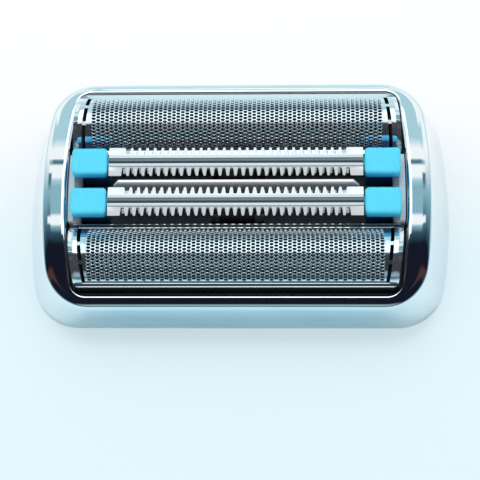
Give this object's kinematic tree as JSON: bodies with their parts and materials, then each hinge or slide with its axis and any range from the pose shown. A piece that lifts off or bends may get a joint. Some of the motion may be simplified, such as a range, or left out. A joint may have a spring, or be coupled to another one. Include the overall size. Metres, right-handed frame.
{
  "type": "shaver foil head",
  "caption": "Foil shaving head: a plated frame holds sprung perforated foils over oscillating blade blocks, sprung comb trimmers with blue end caps and a steel skin guard.",
  "frame": {"origin": "middle of the frame's foot, on the plane it stands on", "axes": "+X along the head, +Y to the rear trimmer's side, +Z out of the shaving side"},
  "size_m": [0.062, 0.035, 0.0153],
  "materials": {
    "plated_frame": "bright chromium plate on a moulding",
    "plated_cheeks": "bright chromium plate on a moulding",
    "satin_plate": "satin chromium plate",
    "foil_steel": "bright perforated foil",
    "guard_steel": "fine brushed steel",
    "blade_steel": "ground steel",
    "spring_steel": "rolled spring strip",
    "blue_cap": "smooth light blue moulding",
    "black_moulding": "fine satin black moulding",
    "carrier_moulding": "fine satin dark grey moulding"
  },
  "bodies": {
    "frame": {"outer_frame": "plated_frame", "chassis": "black_moulding", "retainer_plate": "black_moulding", "skin_guard": "guard_steel", "end_plate_left": "satin_plate", "end_plate_right": "satin_plate", "foil_springs_front": "spring_steel", "trimmer_springs_front": "spring_steel", "foil_springs_rear": "spring_steel", "trimmer_springs_rear": "spring_steel"},
    "foil_unit_front": {"foil_front": "foil_steel", "foil_frame_front": "plated_cheeks"},
    "cutter_front": {"cutter_blades_front": "blade_steel", "cutter_carrier_front": "carrier_moulding"},
    "trimmer_front": {"trimmer_guard_front": "guard_steel", "trimmer_cap_front_left": "blue_cap", "trimmer_cap_front_right": "blue_cap"},
    "comb_front": {"trimmer_comb_front": "blade_steel", "trimmer_slider_front": "carrier_moulding"},
    "foil_unit_rear": {"foil_rear": "foil_steel", "foil_frame_rear": "plated_cheeks"},
    "cutter_rear": {"cutter_blades_rear": "blade_steel", "cutter_carrier_rear": "carrier_moulding"},
    "trimmer_rear": {"trimmer_guard_rear": "guard_steel", "trimmer_cap_rear_left": "blue_cap", "trimmer_cap_rear_right": "blue_cap"},
    "comb_rear": {"trimmer_comb_rear": "blade_steel", "trimmer_slider_rear": "carrier_moulding"}
  },
  "joints": [
    {"name": "foil_front_float", "type": "slide", "parent": "frame", "child": "foil_unit_front", "axis": [0, 0, -1], "range_m": [0, 0.001], "stiffness_N_per_m": 600, "deforming": ["foil_springs_front"]},
    {"name": "trimmer_front_float", "type": "slide", "parent": "frame", "child": "trimmer_front", "axis": [0, 0, -1], "range_m": [0, 0.001], "stiffness_N_per_m": 600, "deforming": ["trimmer_springs_front"]},
    {"name": "foil_rear_float", "type": "slide", "parent": "frame", "child": "foil_unit_rear", "axis": [0, 0, -1], "range_m": [0, 0.001], "stiffness_N_per_m": 600, "deforming": ["foil_springs_rear"]},
    {"name": "trimmer_rear_float", "type": "slide", "parent": "frame", "child": "trimmer_rear", "axis": [0, 0, -1], "range_m": [0, 0.001], "stiffness_N_per_m": 600, "deforming": ["trimmer_springs_rear"]},
    {"name": "cutter_front_stroke", "type": "slide", "parent": "foil_unit_front", "child": "cutter_front", "axis": [1, 0, 0], "range_m": [-0.001, 0.001]},
    {"name": "comb_front_stroke", "type": "slide", "parent": "trimmer_front", "child": "comb_front", "axis": [1, 0, 0], "range_m": [-0.0008, 0.0008]},
    {"name": "cutter_rear_stroke", "type": "slide", "parent": "foil_unit_rear", "child": "cutter_rear", "axis": [1, 0, 0], "range_m": [-0.001, 0.001]},
    {"name": "comb_rear_stroke", "type": "slide", "parent": "trimmer_rear", "child": "comb_rear", "axis": [1, 0, 0], "range_m": [-0.0008, 0.0008]}
  ]
}
